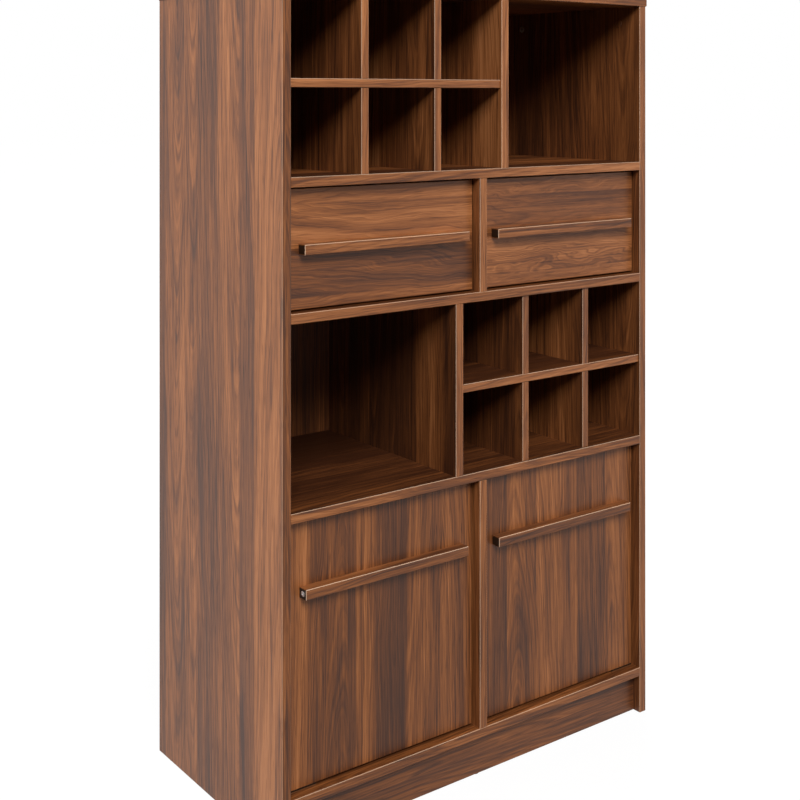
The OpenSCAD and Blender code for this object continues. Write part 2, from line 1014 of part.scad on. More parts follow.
module door_panel(right) {
    color(WALNUT) home() at_right(right) difference() {
        translate([door_x, door_recess, door_z]) front_board(door_w, board, door_h);
        at_door_ends() at_door_leaf_screws() flat_screw_hole(leaf_bite);
        at_handle_screws(door_handle_x, door_handle_l, door_handle_z, door_back_y)
            handle_screw_hole();
        at_strike_screws() flat_screw_hole(wood_screw_l);
    }
}

module door_handle_strip() {
    handle_strip(door_handle_x, door_handle_l, door_handle_z, door_recess);
}

module door_strike(right) {
    color(STEEL) home() at_right(right) difference() {
        translate([strike_x, door_back_y, strike_z]) cube([strike_l, strike_t, strike_w]);
        at_strike_screws() flat_screw_hole(strike_t);
    }
}

module door_fasteners(right) {
    color(STEEL) home() at_right(right) {
        at_door_ends() at_door_leaf_screws() flat_screw(leaf_bite);
        at_handle_screws(door_handle_x, door_handle_l, door_handle_z, door_back_y)
            handle_screw();
        at_strike_screws() flat_screw(wood_screw_l);
    }
}

// The open end of the left door's handle, in its own frame: X into the handle
module at_handle_end() {
    translate([door_handle_x, door_recess - handle_d / 2, door_handle_z]) children();
}

module end_block(x, l, fit) {
    w = handle_d - 2 * (end_wall + fit);
    h = handle_h - 2 * (end_wall + fit);
    translate([x, -w / 2, -h / 2]) cube([l, w, h]);
}

module left_door_panel() {
    door_panel(false);
}

module right_door_panel() {
    door_panel(true);
}

module left_door_handle() {
    color(DARK_WALNUT) home() difference() {
        door_handle_strip();
        at_handle_end() {
            end_block(-eps, end_pocket + eps, 0);
            bar_x(end_screw_shank + 2 * wood_fit, end_pocket + end_screw_bite + wood_fit);
        }
    }
}

module right_door_handle() {
    color(DARK_WALNUT) home() at_right(true) door_handle_strip();
}

module left_handle_plug() {
    color(PLASTIC) home() at_handle_end() difference() {
        end_block(end_pocket - plug_depth, plug_depth, wood_fit);
        bar_x(end_screw_shank + 2 * wood_fit, end_pocket + eps);
    }
}

module left_handle_screw() {
    x0 = end_pocket - plug_depth;
    color(STEEL) home() at_handle_end() {
        difference() {
            translate([x0 - end_screw_h, 0, 0]) bar_x(end_screw_d, end_screw_h);
            translate([x0 - end_screw_h - eps, 0, 0]) bar_x(end_screw_socket, end_socket_d + eps);
        }
        translate([x0, 0, 0]) bar_x(end_screw_shank, plug_depth + end_screw_bite);
    }
}

module left_door_fasteners() {
    door_fasteners(false);
}

module right_door_fasteners() {
    door_fasteners(true);
}

module left_door_pivot_leaves() {
    door_leaves(false);
}

module right_door_pivot_leaves() {
    door_leaves(true);
}

module left_door_strike() {
    door_strike(false);
}

module right_door_strike() {
    door_strike(true);
}

// Magnetic catches under the lower shelf, behind the doors' free edges

catch_x = door_x + door_w - catch_edge - catch_l;
catch_y = door_back_y + strike_t + catch_fit;

module at_catches() {
    both_sides() translate([catch_x, catch_y, z_lower_shelf - catch_h]) children();
}

module at_catch_screws() {
    for (x = [catch_screw_edge, catch_l - catch_screw_edge])
        translate([x, catch_screw_y, 0]) children();
}

module catch_screw_holes() {
    at_catch_screws() flat_screw_hole(catch_h + wood_screw_l);
}

module door_catches() {
    color(PLASTIC) home() at_catches() difference() {
        translate([0, pole_proud, 0]) cube([catch_l, catch_d - pole_proud, catch_h]);
        catch_screw_holes();
        catch_poles(wood_fit);
    }
    color(STEEL) home() at_catches() catch_poles(0);
}

module catch_poles(fit) {
    for (z = [(catch_h - pole_h) / 2, (catch_h + pole_h) / 2 - pole_t])
        translate([(catch_l - pole_l) / 2 - fit, 0, z - fit])
            cube([pole_l + 2 * fit, pole_d + fit, pole_t + 2 * fit]);
}

module carcass_screws() {
    color(STEEL) home() {
        for (right = [false, true])
            at_outer_slide_screws(right) flat_screw(slide_wall + slide_screw_l);
        at_pivots_bottom() at_frame_leaf_screws() flat_screw(frame_bite);
        at_pivots_top() at_frame_leaf_screws() flat_screw(frame_bite);
        at_catches() at_catch_screws() flat_screw(catch_h + wood_screw_l);
    }
}

left_side_panel();
right_side_panel();
top_panel();
upper_shelf();
middle_shelf();
lower_shelf();
bottom_shelf();
plinth_board();
rear_rail();
back_panel();
upper_partition();
upper_rack_shelf();
upper_rack_divider_left();
upper_rack_divider_right();
drawer_divider();
lower_partition();
lower_rack_shelf();
lower_rack_divider_left();
lower_rack_divider_right();
door_divider();
panel_dowels();
cam_locks();
cam_bolts();
back_panel_nails();
floor_glides();
left_outer_slides();
right_outer_slides();
carcass_screws();
door_pivot_plates();
door_catches();
left_drawer_front();
left_drawer_left_side();
left_drawer_right_side();
left_drawer_back();
left_drawer_bottom();
left_drawer_handle();
left_drawer_fasteners();
left_inner_slides();
left_middle_slides();
right_drawer_front();
right_drawer_left_side();
right_drawer_right_side();
right_drawer_back();
right_drawer_bottom();
right_drawer_handle();
right_drawer_fasteners();
right_inner_slides();
right_middle_slides();
left_door_panel();
left_door_handle();
left_handle_plug();
left_handle_screw();
left_door_fasteners();
left_door_pivot_leaves();
left_door_strike();
right_door_panel();
right_door_handle();
right_door_fasteners();
right_door_pivot_leaves();
right_door_strike();
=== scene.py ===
import itertools
import math

import bmesh
import bpy
from mathutils import Matrix, Vector

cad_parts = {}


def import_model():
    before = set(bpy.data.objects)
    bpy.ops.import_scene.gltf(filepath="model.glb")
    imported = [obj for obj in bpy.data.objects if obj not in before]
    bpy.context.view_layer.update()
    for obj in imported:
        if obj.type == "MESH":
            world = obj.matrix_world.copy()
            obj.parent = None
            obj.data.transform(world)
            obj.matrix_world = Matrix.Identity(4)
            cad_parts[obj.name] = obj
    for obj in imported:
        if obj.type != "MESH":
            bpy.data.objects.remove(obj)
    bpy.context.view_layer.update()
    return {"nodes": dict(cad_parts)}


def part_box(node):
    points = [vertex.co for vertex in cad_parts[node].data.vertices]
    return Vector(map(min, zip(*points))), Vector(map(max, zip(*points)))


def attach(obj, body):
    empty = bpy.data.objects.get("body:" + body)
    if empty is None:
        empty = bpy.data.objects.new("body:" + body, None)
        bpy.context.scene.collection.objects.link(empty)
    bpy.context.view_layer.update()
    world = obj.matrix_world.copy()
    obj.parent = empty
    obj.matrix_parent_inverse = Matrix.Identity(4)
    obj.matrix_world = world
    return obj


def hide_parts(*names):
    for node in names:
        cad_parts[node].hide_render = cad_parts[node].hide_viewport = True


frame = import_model()
NODES = frame["nodes"]
AXES = "XYZ"

# The photograph's camera: level, with its frame shifted down. Pixels are of the 800 x 800 frame
PHOTO_SIZE = 800
FOCAL_PX = 1288.6
AXIS_PX = (378.0, 95.1)
CAMERA_AT = (-1.6095, -2.0777, 1.2959)
CAMERA_TURN = math.radians(-36.315)
SENSOR_MM = 36


def camera():
    data = bpy.data.cameras.new("camera")
    data.sensor_width = SENSOR_MM
    data.lens = SENSOR_MM * FOCAL_PX / PHOTO_SIZE
    data.shift_x = 0.5 - AXIS_PX[0] / PHOTO_SIZE
    data.shift_y = AXIS_PX[1] / PHOTO_SIZE - 0.5
    made = bpy.data.objects.new("camera", data)
    made.location = CAMERA_AT
    made.rotation_euler = (math.pi / 2, 0, CAMERA_TURN)
    bpy.context.scene.collection.objects.link(made)
    bpy.context.scene.camera = made


# Writing node trees

class Graph:
    """A node tree with short calls. A socket, a number or a vector can feed any input."""

    def __init__(self, tree):
        self.tree = tree

    def node(self, kind, inputs=(), **settings):
        made = self.tree.nodes.new(kind)
        for name, value in settings.items():
            setattr(made, name, value)
        for name, value in dict(inputs).items():
            self.feed(made.inputs[name], value)
        return made

    def feed(self, socket, value):
        if isinstance(value, bpy.types.NodeSocket):
            self.tree.links.new(value, socket)
        else:
            socket.default_value = value

    def math(self, operation, *values, clamp=False):
        made = self.node("ShaderNodeMath", operation=operation, use_clamp=clamp)
        for socket, value in zip(made.inputs, values):
            self.feed(socket, value)
        return made.outputs[0]

    def add(self, total, value, weight, centre=0.5):
        """The total plus a weight times what the value has over its centre."""
        return self.math("MULTIPLY_ADD", self.math("SUBTRACT", value, centre), weight, total)

    def choose(self, mask, off, on):
        """One number where the mask is 0, and the other where it is 1."""
        return self.math("MULTIPLY_ADD", mask, on - off, off)

    def vector(self, x, y=0.0, z=0.0):
        return self.node("ShaderNodeCombineXYZ", {"X": x, "Y": y, "Z": z}).outputs[0]

    def split(self, vector):
        return self.node("ShaderNodeSeparateXYZ", {"Vector": vector}).outputs

    def coordinates(self, kind="Object"):
        """The three parts of the place, in metres, or of the normal."""
        return self.split(self.node("ShaderNodeTexCoord").outputs[kind])

    def scaled(self, parts, scales):
        """A vector of three parts, each times its own scale."""
        return self.vector(*[self.math("MULTIPLY", part, scale) for part, scale in zip(parts, scales)])

    def noise(self, vector=None, w=None, detail=2.0, roughness=0.5):
        """Noise round 0.5, of a vector or of a number w."""
        made = self.node("ShaderNodeTexNoise", {"Scale": 1, "Detail": detail, "Roughness": roughness},
                         noise_dimensions="1D" if vector is None else "3D")
        self.feed(made.inputs["W" if vector is None else "Vector"], w if vector is None else vector)
        return made.outputs[0]

    def spread(self, value, low, high, to_low=0.0, to_high=1.0):
        """Stretches low to high onto another range, and stays inside that range."""
        made = self.node("ShaderNodeMapRange", {0: value}, clamp=True)
        for i, number in enumerate((low, high, to_low, to_high), 1):
            self.feed(made.inputs[i], number)
        return made.outputs[0]

    def ramp(self, value, stops):
        made = self.node("ShaderNodeValToRGB", {"Fac": value})
        elements = made.color_ramp.elements
        while len(elements) < len(stops):
            elements.new(1)
        for element, (place, colour) in zip(elements, stops):
            element.position = place
            element.color = (*colour, 1)
        return made.outputs["Color"]

    def mix(self, factor, a, b):
        made = self.node("ShaderNodeMix", {0: factor}, data_type="RGBA")
        for socket, value in zip(made.inputs[6:8], (a, b)):
            self.feed(socket, value if isinstance(value, bpy.types.NodeSocket) else (*value, 1))
        return made.outputs[2]

    def bump(self, shader, height, strength, distance):
        relief = {"Height": height, "Strength": strength, "Distance": distance}
        self.feed(shader.inputs["Normal"], self.node("ShaderNodeBump", relief).outputs[0])

    def backdrop_rays(self):
        """1 for camera, glossy and transmission rays, which see white, and 0 for the others."""
        ray = self.node("ShaderNodeLightPath").outputs
        seen = self.math("MAXIMUM", ray["Is Camera Ray"], ray["Is Glossy Ray"])
        return self.math("MAXIMUM", seen, ray["Is Transmission Ray"])


def new_material(name):
    made = bpy.data.materials.new(name)
    made.use_nodes = True
    made.node_tree.nodes.clear()
    graph = Graph(made.node_tree)
    shader = graph.node("ShaderNodeBsdfPrincipled")
    graph.node("ShaderNodeOutputMaterial", {"Surface": shader.outputs[0]})
    return made, graph, shader


def tinted(colour, factor):
    return [part * factor for part in colour]


# Walnut foil. Tones run from 0, the darkest heart streak, to 1, the palest sap streak

WALNUT = (
    (0.00, (0.040, 0.0125, 0.0050)),
    (0.25, (0.080, 0.0255, 0.0085)),
    (0.45, (0.135, 0.0430, 0.0125)),
    (0.60, (0.200, 0.0660, 0.0185)),
    (0.80, (0.290, 0.1020, 0.0310)),
    (1.00, (0.400, 0.1520, 0.0520)),
)
# Strips of veneer in the print, broad and fine growth rings, and dark late-wood lines, per metre
STRIPS = 13.5
BANDS = 55
RINGS = 380
LINES = 230
# How unevenly wide the strips are, from 0 to 1, and how softly their tones meet
STRIP_CHANCE = 0.7
STRIP_SOFTNESS = 0.4
# Strips that a seed of 1 moves on, and the length of log that the strips are cut from, in metres
SEED_STRIPS = 7.31
LOG_LENGTH = 9.0
# How widely the strips lie beside the pith, their least depth over it and its spread, all in metres
PITH_ASIDE = 0.18
PITH_DEPTH = 0.008
DEPTH_SPREAD = 0.030
# How widely the logs' tapers spread round none
TAPER = 0.15
# How far the wobble bends the rings, in metres
WOBBLE_REACH = 0.045
# Features per metre along the grain and across it
WOBBLE = (2.6, 7.0)
CURLS = (6.0, 20.0)
FIBRES = (5.0, 330.0)
STREAKS = (4.0, 170.0)
FLOW = (1.6, 120.0)
PORES = (24.0, 620.0)
CLOUDS = (2.4, 14.0)
# Noise levels between which the dark marks come in
LINE_MARKS = (0.52, 0.64)
STREAK_MARKS = (0.54, 0.70)
PORE_MARKS = (0.58, 0.70)
# How strongly the pores sink into the fibres' relief
PORE_RELIEF = -0.6


def walnut_tree():
    """A group that paints walnut. Grain is (along the grain, across it, seed), in metres."""
    tree = bpy.data.node_groups.new("walnut", "ShaderNodeTree")
    for name, way, kind in (
        ("Grain", "INPUT", "Vector"),
        ("Strips", "INPUT", "Float"),
        ("Tone", "INPUT", "Float"),
        ("Swirl", "INPUT", "Float"),
        ("Fine", "INPUT", "Float"),
        ("Fibre", "OUTPUT", "Float"),
        ("Color", "OUTPUT", "Color"),
    ):
        tree.interface.new_socket(name, in_out=way, socket_type="NodeSocket" + kind)
    g = Graph(tree)
    given = g.node("NodeGroupInput").outputs
    along, across, seed = g.split(given["Grain"])

    # Irregular strips across the board, each cut from another place in the log
    place = g.math("MULTIPLY_ADD", across, STRIPS, g.math("MULTIPLY", seed, SEED_STRIPS))
    strip = g.node("ShaderNodeTexVoronoi", {"W": place, "Scale": 1, "Randomness": STRIP_CHANCE},
                   voronoi_dimensions="1D")
    soft = g.node("ShaderNodeTexVoronoi", {"W": place, "Scale": 1, "Randomness": STRIP_CHANCE,
                                           "Smoothness": STRIP_SOFTNESS},
                  voronoi_dimensions="1D", feature="SMOOTH_F1")
    luck = g.split(strip.outputs["Color"])
    log = g.math("MULTIPLY_ADD", luck[0], LOG_LENGTH, g.math("ADD", along, seed))

    def figure(start, scales, choice, **settings):
        """Noise with so many features per metre. The choice picks another one of its kind."""
        return g.noise(g.scaled((start, across, choice), (*scales, 1.0)), **settings)

    # The cut runs past the pith at some distance, and the log tapers, which draws the cathedrals
    local = g.math("DIVIDE", g.math("SUBTRACT", place, strip.outputs["W"]), STRIPS)
    side = g.add(local, luck[1], PITH_ASIDE)
    side = g.add(side, figure(log, WOBBLE, luck[1], detail=3), WOBBLE_REACH)
    side = g.add(side, figure(log, CURLS, luck[1], detail=3), given["Swirl"])
    depth = g.math("MULTIPLY_ADD", luck[2], DEPTH_SPREAD, PITH_DEPTH)
    squares = g.math("ADD", g.math("MULTIPLY", side, side), g.math("MULTIPLY", depth, depth))
    taper = g.math("MULTIPLY", g.math("SUBTRACT", luck[0], 0.5), TAPER)
    radius = g.math("MULTIPLY_ADD", taper, log, g.math("SQRT", squares))
    bands = g.noise(w=g.math("MULTIPLY", radius, BANDS), detail=2)
    rings = g.noise(w=g.math("MULTIPLY", radius, RINGS), detail=2, roughness=0.6)
    lines = g.spread(g.noise(w=g.math("MULTIPLY", radius, LINES), detail=1), *LINE_MARKS)

    # Fibres and open pores along the grain, and cloudy patches
    fibre = figure(along, FIBRES, seed, detail=3, roughness=0.7)
    streaks = g.spread(figure(along, STREAKS, seed, detail=2), *STREAK_MARKS)
    flow = figure(along, FLOW, seed, detail=2)
    pores = g.spread(figure(along, PORES, seed, detail=1), *PORE_MARKS)
    clouds = figure(log, CLOUDS, seed, detail=3)

    # The strips give the tone, and each part of the figure shifts it by its weight round its centre
    plank = g.spread(g.split(soft.outputs["Color"])[1], 0.15, 0.85, -0.5, 0.5)
    tone = g.math("MULTIPLY_ADD", plank, given["Strips"], given["Tone"])
    for value, weight in ((bands, 0.58), (rings, 0.50), (flow, 0.40), (clouds, 0.90)):
        tone = g.add(tone, value, weight)
    fine = 0.0
    for value, weight, centre in (
        (fibre, 0.90, 0.5),
        (streaks, -0.26, 0.1),
        (lines, -0.15, 0.35),
        (pores, -0.24, 0.0),
    ):
        fine = g.add(fine, value, weight, centre)
    tone = g.math("MULTIPLY_ADD", fine, given["Fine"], tone, clamp=True)
    g.node("NodeGroupOutput", {
        "Fibre": g.math("MULTIPLY_ADD", pores, PORE_RELIEF, fibre),
        "Color": g.ramp(tone, WALNUT),
    })
    return tree


WALNUT_TREE = walnut_tree()
# The pale line along eased edges, partly the trimmed edge's core and partly a painted highlight, and the
# chips of bare board with their number per metre
TRIM_AND_HIGHLIGHT = (0.66, 0.45, 0.31)
CHIPBOARD = ((0.25, (0.19, 0.095, 0.042)), (0.55, (0.36, 0.20, 0.095)), (0.8, (0.52, 0.32, 0.17)))
CHIPS = 260.0
# Strength of the strips on the edge bands, where the print is calmer
BAND_STRIPS = 0.12
# Specular level of the foil and of duller broad faces, and the roughness of its low and high fibres
SHINE = 0.35
DULL = 0.08
ROUGH = (0.50, 0.36)
# A face is square to an axis if its normal's part along it is over the first, and an edge looks down if
# its normal's Z is under the second
SQUARE = 0.9
DOWNWARD = -0.3


def walnut(name, grain, seed, wide=None, tone=0.5, band=None, strips=0.33, fine=1.0, swirl=0.008,
           pale=0.7, bare=(), dull=False):
    """Walnut foil with its grain along one axis, from the place in the log that the seed picks.
    wide is the axis square to the board's broad faces. The other faces are edge bands, with a tone of
    their own if band gives one. strips, fine and swirl are the strength of the strips, of the fibres
    and pores, and of the curls. pale is the strength of the pale line along the eased edges, other
    than the lower ones: partly the trimmed edge's pale core, partly a painted highlight, left off the
    lower edges, which lie in shade. bare has the (axis, sign) ways that show bare board. dull takes
    shine off the broad faces."""
    made, g, shader = new_material(name)
    place = g.coordinates()
    normal = g.coordinates("Normal")
    across = g.math("ADD", *[part for part, axis in zip(place, AXES) if axis != grain])
    shine = SHINE
    if wide:
        on_band = g.math("LESS_THAN", g.math("ABSOLUTE", normal[AXES.index(wide)]), 0.5)
        if dull:
            shine = g.choose(on_band, DULL, SHINE)
        if band is not None:
            tone = g.choose(on_band, tone, band)
        strips = g.choose(on_band, strips, BAND_STRIPS)
    paint = g.node("ShaderNodeGroup", node_tree=WALNUT_TREE)
    for socket, value in (
        ("Grain", g.vector(place[AXES.index(grain)], across, seed)),
        ("Strips", strips),
        ("Tone", tone),
        ("Swirl", swirl),
        ("Fine", fine),
    ):
        g.feed(paint.inputs[socket], value)
    colour = paint.outputs["Color"]

    # Painted highlight, in part: eased edges that don't face down take a pale colour, the trimmed edge's
    # core together with light on the edges. The lower edges, in shade, keep the foil's colour
    if pale:
        longest = g.math("ABSOLUTE", normal[0])
        for part in normal[1:]:
            longest = g.math("MAXIMUM", longest, g.math("ABSOLUTE", part))
        eased = g.math("LESS_THAN", longest, SQUARE)
        trim_and_highlight_mask = g.math("MULTIPLY", eased, g.math("GREATER_THAN", normal[2], DOWNWARD))
        colour = g.mix(g.math("MULTIPLY", trim_and_highlight_mask, pale), colour, TRIM_AND_HIGHLIGHT)
    if bare:
        raw = g.ramp(g.noise(g.scaled(place, (CHIPS,) * 3), detail=3, roughness=0.7), CHIPBOARD)
        for axis, sign in bare:
            outward = g.math("MULTIPLY", normal[AXES.index(axis)], sign)
            colour = g.mix(g.math("GREATER_THAN", outward, SQUARE), colour, raw)
    g.feed(shader.inputs["Base Color"], colour)
    g.feed(shader.inputs["Roughness"], g.spread(paint.outputs["Fibre"], 0.2, 0.8, *ROUGH))
    shader.inputs["Specular IOR Level"].default_value = SHINE
    g.feed(shader.inputs["Specular IOR Level"], shine)
    g.bump(shader, paint.outputs["Fibre"], strength=0.12, distance=0.0004)
    return made


# Grains per metre of a matt surface
GRIT = 1800.0


def matt(name, colour, roughness=0.45, shine=0.5):
    """Moulded plastic and lacquer, and the door pivot leaves' near-black painted shade, all with a fine
    grit.
    """
    made, g, shader = new_material(name)
    fine = g.noise(g.scaled(g.coordinates(), (GRIT,) * 3))
    g.feed(shader.inputs["Base Color"], g.mix(fine, tinted(colour, 0.8), tinted(colour, 1.2)))
    shader.inputs["Specular IOR Level"].default_value = shine
    g.feed(shader.inputs["Roughness"], g.spread(fine, 0.3, 0.7, roughness - 0.06, roughness + 0.06))
    g.bump(shader, fine, strength=0.15, distance=0.0002)
    return made


# Features per metre of plated metal: blotches, and brush marks along their way and across it
BLOTCHES = 90.0
BRUSH_ALONG = 60.0
BRUSH_ACROSS = 2600.0


def metal(name, colour, roughness=0.32, along="Y"):
    """Plated metal, brushed along one axis."""
    made, g, shader = new_material(name)
    where = g.coordinates()
    scales = [BRUSH_ALONG if axis == along else BRUSH_ACROSS for axis in AXES]
    brushed = g.noise(g.scaled(where, scales), detail=2)
    blotch = g.noise(g.scaled(where, (BLOTCHES,) * 3), detail=2)
    tint = g.mix(blotch, tinted(colour, 0.85), colour)
    g.feed(shader.inputs["Base Color"], g.mix(brushed, tinted(colour, 0.8), tint))
    shader.inputs["Metallic"].default_value = 1
    g.feed(shader.inputs["Roughness"], g.spread(brushed, 0.3, 0.7, roughness - 0.08, roughness + 0.1))
    return made


def satin_silver():
    """The bright screw in the left door handle's end."""
    made, g, shader = new_material("satin_silver")
    fine = g.noise(g.scaled(g.coordinates(), (1500.0,) * 3), detail=2)
    greys = ((0.3, (0.74, 0.74, 0.74)), (0.7, (0.88, 0.88, 0.88)))
    g.feed(shader.inputs["Base Color"], g.ramp(fine, greys))
    shader.inputs["Metallic"].default_value = 0.35
    g.feed(shader.inputs["Roughness"], g.spread(fine, 0.3, 0.7, 0.34, 0.46))
    return made


def beech():
    """Raw wood of the dowels, with its grain along X."""
    made, g, shader = new_material("beech")
    grain = g.noise(g.scaled(g.coordinates(), (60.0, 900.0, 900.0)), detail=3)
    browns = ((0.3, (0.50, 0.32, 0.16)), (0.7, (0.70, 0.50, 0.29)))
    g.feed(shader.inputs["Base Color"], g.ramp(grain, browns))
    shader.inputs["Roughness"].default_value = 0.7
    return made


def dress(name, material):
    mesh = NODES[name].data
    mesh.materials.clear()
    mesh.materials.append(material)


# Boards. Each is cut from the next place in the log, unless its figure has a place of its own

SEED_STEP = 1.37
SEEDS = itertools.count(SEED_STEP, SEED_STEP)
FIGURES = {
    "left_side_panel": 300.0,
    "right_side_panel": 606.0,
    "left_door_panel": 106.0,
    "right_door_panel": 206.0,
    "left_drawer_front": 112.0,
    "right_drawer_front": 287.0,
}
# Tones of the broad faces and of the edge bands. Some broad-face tones hold painted light and shade:
# the top panel and the shelves other than the bottom one are dark as painted shade in the bays, the
# upper partition and upper rack dividers lighter and the lower partition and lower rack dividers
# darker as painted light and shade in the racks, and the drawer divider darker as painted shade in
# the recess beside the drawers
UPRIGHTS = {
    "left_side_panel": (0.54, 0.40),
    "right_side_panel": (0.50, 0.60),
    "upper_partition": (0.58, 0.66),
    "upper_rack_divider_left": (0.61, 0.80),
    "upper_rack_divider_right": (0.60, 0.74),
    "drawer_divider": (0.36, 0.60),
    "lower_partition": (0.32, 0.60),
    "lower_rack_divider_left": (0.43, 0.60),
    "lower_rack_divider_right": (0.43, 0.60),
    "door_divider": (0.50, 0.60),
}
SHELVES = {
    "top_panel": (0.34, 0.62),
    "upper_shelf": (0.20, 0.74),
    "middle_shelf": (0.20, 0.50),
    "lower_shelf": (0.20, 0.62),
    "bottom_shelf": (0.60, 0.50),
    "upper_rack_shelf": (0.20, 0.72),
    "lower_rack_shelf": (0.20, 0.62),
}
# What differs in the looks of the side panels
PANELS = {
    "left_side_panel": {"strips": 0.45, "fine": 1.2, "pale": 0.3},
    "right_side_panel": {"swirl": 0.020},
}


def board(name, grain, **look):
    seed = next(SEEDS)
    dress(name, walnut(name, grain, FIGURES.get(name, seed), **look))


def dress_boards():
    for name, (tone, band) in UPRIGHTS.items():
        look = {"strips": 0.40, "pale": 0.5, **PANELS.get(name, {})}
        board(name, "Z", wide="X", tone=tone, band=band, bare=[("Y", 1), ("Z", -1), ("Z", 1)], **look)
    for name, (tone, band) in SHELVES.items():
        board(name, "X", wide="Z", tone=tone, band=band, strips=0.52, pale=0.55, bare=[("Y", 1)],
              dull=True)
    board("left_door_panel", "Z", wide="Y", tone=0.41, pale=0)
    board("right_door_panel", "Z", wide="Y", tone=0.45, pale=0)
    board("left_drawer_front", "X", wide="Y", tone=0.56, strips=0.38, fine=0.70, swirl=0.042, pale=0)
    board("right_drawer_front", "X", wide="Y", tone=0.54, strips=0.26, fine=0.75, swirl=0.075, pale=0)
    for name in ("plinth_board", "rear_rail"):
        board(name, "X", wide="Y", tone=0.31, fine=0.75, pale=0)
    for side in ("left", "right"):
        for part in ("drawer_handle", "door_handle"):
            board(f"{side}_{part}", "X", tone=0.55, strips=0.10)
        for part in ("left_side", "right_side"):
            board(f"{side}_drawer_{part}", "Y", wide="X")
        board(f"{side}_drawer_back", "X", wide="Y")
        board(f"{side}_drawer_bottom", "X", wide="Z")
    board("back_panel", "Z", wide="Y", bare=[("Y", 1)])


ZINC = metal("zinc", (0.62, 0.62, 0.60))
SILVER = satin_silver()
BLACK = matt("black_plastic", (0.012, 0.012, 0.012))
DARK = matt("dark_plastic", (0.020, 0.0080, 0.0028), 0.6, shine=0.2)
HARDWARE = (
    (("_slides", "_fasteners", "_locks", "_bolts", "_nails", "_screws"), ZINC),
    ("_strike", metal("nickel", (0.68, 0.66, 0.62), 0.25, "X")),
    # The door pivot leaves: painted shade, coloured near black so that they read as the shaded gap they
    # show through
    ("_leaves", matt("near_black_leaves", (0.018, 0.009, 0.005), 0.6, shine=0.1)),
    ("_plates", matt("brown_lacquer", (0.120, 0.046, 0.018), 0.5, shine=0.15)),
    ("_dowels", beech()),
    ("_catches", matt("brown_plastic", (0.05, 0.034, 0.028))),
    ("_glides", BLACK),
)


def dress_hardware():
    for name in NODES:
        for ending, material in HARDWARE:
            if name.endswith(ending):
                dress(name, material)


# Small pieces that are finer than the CAD parts they sit on. Their lengths are in millimetres

MM = 0.001
ROUND_STEPS = 40
# Faces that meet at a smaller angle look smooth, and edges over a larger one are bevelled
SMOOTH_ANGLE = math.radians(35)
BEVEL_ANGLE = math.radians(50)


def loose_boxes(name):
    """The boxes of a node's separate solids, as (low corner, high corner)."""
    work = bmesh.new()
    work.from_mesh(NODES[name].data)
    bmesh.ops.remove_doubles(work, verts=work.verts, dist=1e-6)
    left = set(work.verts)
    boxes = []
    while left:
        stack = [left.pop()]
        points = []
        while stack:
            vert = stack.pop()
            points.append(vert.co.copy())
            for edge in vert.link_edges:
                other = edge.other_vert(vert)
                if other in left:
                    left.remove(other)
                    stack.append(other)
        boxes.append((Vector([min(p[i] for p in points) for i in range(3)]),
                      Vector([max(p[i] for p in points) for i in range(3)])))
    work.free()
    return sorted(boxes, key=lambda box: tuple(round(v, 4) for v in box[0]))


def facing(at, axis, sign):
    """The matrix of a place at a point, with its Z axis along an axis or against it."""
    way = Vector([sign * (AXES[i] == axis) for i in range(3)])
    return Matrix.Translation(at) @ way.to_track_quat("Z", "Y").to_matrix().to_4x4()


class Shape:
    """Faces gathered into one object."""

    def __init__(self):
        self.work = bmesh.new()

    def lathe(self, profile, place):
        """Turns a profile of (radius, height) about place's Z axis. It starts and ends at radius 0."""
        rings = []
        for radius, height in profile:
            if radius == 0:
                rings.append([self.work.verts.new(place @ Vector((0, 0, height * MM)))])
                continue
            ring = []
            for k in range(ROUND_STEPS):
                a = 2 * math.pi * k / ROUND_STEPS
                ring.append(self.work.verts.new(
                    place @ Vector((radius * MM * math.cos(a), radius * MM * math.sin(a), height * MM))))
            rings.append(ring)
        for low, high in zip(rings, rings[1:]):
            for k in range(ROUND_STEPS):
                n = (k + 1) % ROUND_STEPS
                quad = [low[k % len(low)], low[n % len(low)], high[n % len(high)], high[k % len(high)]]
                self.work.faces.new(list(dict.fromkeys(quad))).smooth = True

    def prism(self, outline, low, high, place, slot=0):
        """Draws a closed outline of (x, y) from one height to another along place's Z axis."""
        layers = [[self.work.verts.new(place @ Vector((x * MM, y * MM, z * MM))) for x, y in outline]
                  for z in (low, high)]
        faces = [list(reversed(layers[0])), layers[1]]
        count = len(outline)
        for k in range(count):
            n = (k + 1) % count
            faces.append([layers[0][k], layers[0][n], layers[1][n], layers[1][k]])
        for verts in faces:
            self.work.faces.new(verts).material_index = slot

    def collar(self, outline, radius, low, high, place):
        """A prism with a round hole through it."""
        rings = []
        for z in (low, high):
            for hole in (False, True):
                ring = []
                for x, y in outline:
                    k = radius / math.hypot(x, y) if hole else 1
                    ring.append(self.work.verts.new(place @ Vector((x * k * MM, y * k * MM, z * MM))))
                rings.append(ring)
        outer_low, inner_low, outer_high, inner_high = rings
        for a, b in ((outer_low, outer_high), (inner_high, inner_low), (inner_low, outer_low),
                     (outer_high, inner_high)):
            for k in range(len(outline)):
                n = (k + 1) % len(outline)
                self.work.faces.new([a[k], a[n], b[n], b[k]])

    def make(self, name, body, materials, slot):
        bmesh.ops.recalc_face_normals(self.work, faces=self.work.faces)
        mesh = bpy.data.meshes.new(name)
        self.work.to_mesh(mesh)
        self.work.free()
        for material in materials:
            mesh.materials.append(material)
        made = bpy.data.objects.new(name, mesh)
        bpy.context.scene.collection.objects.link(made)
        sharp = made.modifiers.new("edges", "EDGE_SPLIT")
        sharp.split_angle = SMOOTH_ANGLE
        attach(made, body)
        return made


